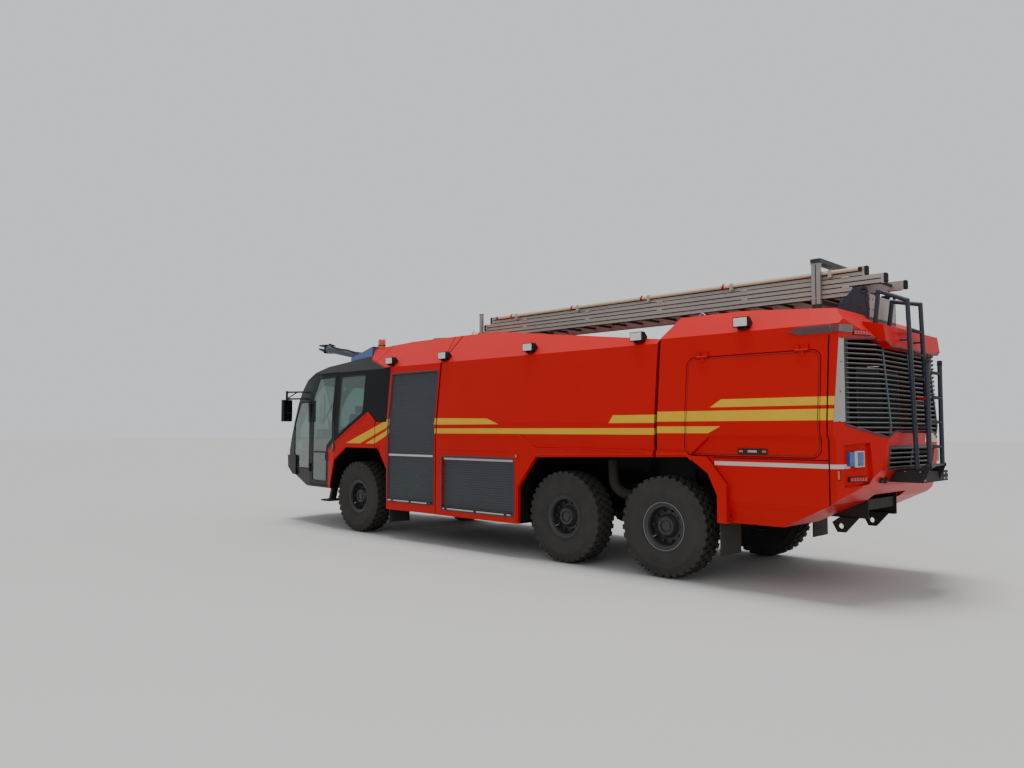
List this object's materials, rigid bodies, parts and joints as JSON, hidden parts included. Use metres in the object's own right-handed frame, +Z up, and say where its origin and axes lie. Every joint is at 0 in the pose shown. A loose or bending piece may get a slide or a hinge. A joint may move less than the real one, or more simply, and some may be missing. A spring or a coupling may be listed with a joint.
{
  "type": "airport fire truck",
  "caption": "Long three-axle airport fire truck with a glazed black cab, roof turret, roof ladder, roller shutters and a rear engine module.",
  "frame": {"origin": "on the ground, under the middle of the vehicle's full length and width", "axes": "+X forward, +Y to the vehicle's left, +Z up"},
  "size_m": [12.7544, 3.12, 3.8517],
  "materials": {
    "red_paint": "signal red gloss paint with yellow and white bands",
    "black_panel": "black gloss cab paint",
    "window_glass": "green tinted cab glass",
    "chassis_steel": "dark chassis paint",
    "grey_paint": "dark grey satin paint",
    "shutter_alloy": "dark grey coated slats",
    "ladder_alloy": "bare alloy",
    "radiator_alloy": "dark finned core",
    "engine_iron": "plain block",
    "rim_paint": "dark grey wheel paint",
    "tyre_rubber": "dusty black rubber",
    "flap_rubber": "black rubber sheet",
    "dark_plastic": "grained dark plastic",
    "seat_fabric": "dark woven seat cloth",
    "lamp_white": "clear lamp lens",
    "red_lens": "red lamp lens",
    "amber_lens": "amber lamp lens",
    "blue_lens": "blue beacon lens"
  },
  "bodies": {
    "chassis": {"frame_rails": "chassis_steel", "axle_front": "chassis_steel", "bogie_axles": "chassis_steel", "suspension": "chassis_steel", "cab_shell": "black_panel", "cab_seats": "seat_fabric", "dashboard": "dark_plastic", "windscreen": "window_glass", "side_glass": "window_glass", "front_fenders": "red_paint", "body_main": "red_paint", "shutters": "shutter_alloy", "rear_module": "red_paint", "engine_block": "engine_iron", "radiator": "radiator_alloy", "rear_grille": "grey_paint", "tail_lamps": "red_lens", "roof_markers": "amber_lens", "corner_lamps": "blue_lens", "ladder_rack": "grey_paint", "turret_base": "grey_paint", "beacons": "blue_lens", "scene_lamps": "lamp_white", "mirrors": "dark_plastic", "front_bumper": "dark_plastic", "headlamps": "lamp_white", "cab_steps": "dark_plastic", "mudflaps": "flap_rubber", "access_ladder": "grey_paint", "tow_box": "chassis_steel"},
    "steer_left": {"knuckle_left": "chassis_steel"},
    "steer_right": {"knuckle_right": "chassis_steel"},
    "cab_door_left": {"door_left": "black_panel", "door_glass_left": "window_glass"},
    "cab_door_right": {"door_right": "black_panel", "door_glass_right": "window_glass"},
    "engine_flap_left": {"flap_left": "red_paint"},
    "engine_flap_right": {"flap_right": "red_paint"},
    "turret_turntable": {"turret_table": "grey_paint"},
    "turret_monitor": {"turret_barrel": "grey_paint"},
    "ladder_stack": {"roof_ladder": "ladder_alloy"},
    "fold_ladder": {"folding_ladder": "grey_paint"},
    "wheel_front_left": {"tyre_front_left": "tyre_rubber", "rim_front_left": "rim_paint"},
    "wheel_front_right": {"tyre_front_right": "tyre_rubber", "rim_front_right": "rim_paint"},
    "wheel_middle_left": {"tyre_middle_left": "tyre_rubber", "rim_middle_left": "rim_paint"},
    "wheel_middle_right": {"tyre_middle_right": "tyre_rubber", "rim_middle_right": "rim_paint"},
    "wheel_rear_left": {"tyre_rear_left": "tyre_rubber", "rim_rear_left": "rim_paint"},
    "wheel_rear_right": {"tyre_rear_right": "tyre_rubber", "rim_rear_right": "rim_paint"}
  },
  "joints": [
    {"name": "steering_left", "type": "hinge", "parent": "chassis", "child": "steer_left", "pos_m": [2.8378, 1.05, 0.62], "axis": [0, 0, 1], "range_deg": [-30, 30]},
    {"name": "steering_right", "type": "hinge", "parent": "chassis", "child": "steer_right", "pos_m": [2.8378, -1.05, 0.62], "axis": [0, 0, 1], "range_deg": [-30, 30]},
    {"name": "spin_front_left", "type": "hinge", "parent": "steer_left", "child": "wheel_front_left", "pos_m": [2.8378, 1.2325, 0.62], "axis": [0, 1, 0], "continuous": true},
    {"name": "spin_front_right", "type": "hinge", "parent": "steer_right", "child": "wheel_front_right", "pos_m": [2.8378, -1.2325, 0.62], "axis": [0, 1, 0], "continuous": true},
    {"name": "spin_middle_left", "type": "hinge", "parent": "chassis", "child": "wheel_middle_left", "pos_m": [-1.99419, 1.2325, 0.62], "axis": [0, 1, 0], "continuous": true},
    {"name": "spin_middle_right", "type": "hinge", "parent": "chassis", "child": "wheel_middle_right", "pos_m": [-1.99419, -1.2325, 0.62], "axis": [0, 1, 0], "continuous": true},
    {"name": "spin_rear_left", "type": "hinge", "parent": "chassis", "child": "wheel_rear_left", "pos_m": [-3.6022, 1.2325, 0.62], "axis": [0, 1, 0], "continuous": true},
    {"name": "spin_rear_right", "type": "hinge", "parent": "chassis", "child": "wheel_rear_right", "pos_m": [-3.6022, -1.2325, 0.62], "axis": [0, 1, 0], "continuous": true},
    {"name": "door_left_hinge", "type": "hinge", "parent": "chassis", "child": "cab_door_left", "pos_m": [4.5438, 1.323, 1.6], "axis": [0, 0, -1], "range_deg": [0, 75]},
    {"name": "door_right_hinge", "type": "hinge", "parent": "chassis", "child": "cab_door_right", "pos_m": [4.5438, -1.323, 1.6], "axis": [0, 0, 1], "range_deg": [0, 75]},
    {"name": "flap_left_hinge", "type": "hinge", "parent": "chassis", "child": "engine_flap_left", "pos_m": [-4.8022, 1.43988, 2.656], "axis": [1, 0, 0], "range_deg": [0, 85]},
    {"name": "flap_right_hinge", "type": "hinge", "parent": "chassis", "child": "engine_flap_right", "pos_m": [-4.8022, -1.43988, 2.656], "axis": [-1, 0, 0], "range_deg": [0, 85]},
    {"name": "turret_turn", "type": "hinge", "parent": "chassis", "child": "turret_turntable", "pos_m": [4.09781, 0, 3.06], "axis": [0, 0, 1], "range_deg": [-90, 90]},
    {"name": "turret_raise", "type": "hinge", "parent": "turret_turntable", "child": "turret_monitor", "pos_m": [4.09781, 0, 3.2], "axis": [0, -1, 0], "range_deg": [-12, 55]},
    {"name": "ladder_slide", "type": "slide", "parent": "chassis", "child": "ladder_stack", "axis": [-1, 0, 0], "range_m": [0, 1.8]},
    {"name": "fold_ladder_hinge", "type": "hinge", "parent": "chassis", "child": "fold_ladder", "pos_m": [-6.3472, 0.19, 1.42], "axis": [0, -1, 0], "range_deg": [0, 175]}
  ],
  "couplings": [
    {"joint": "steering_right", "follows": "steering_left", "ratio": 1}
  ]
}
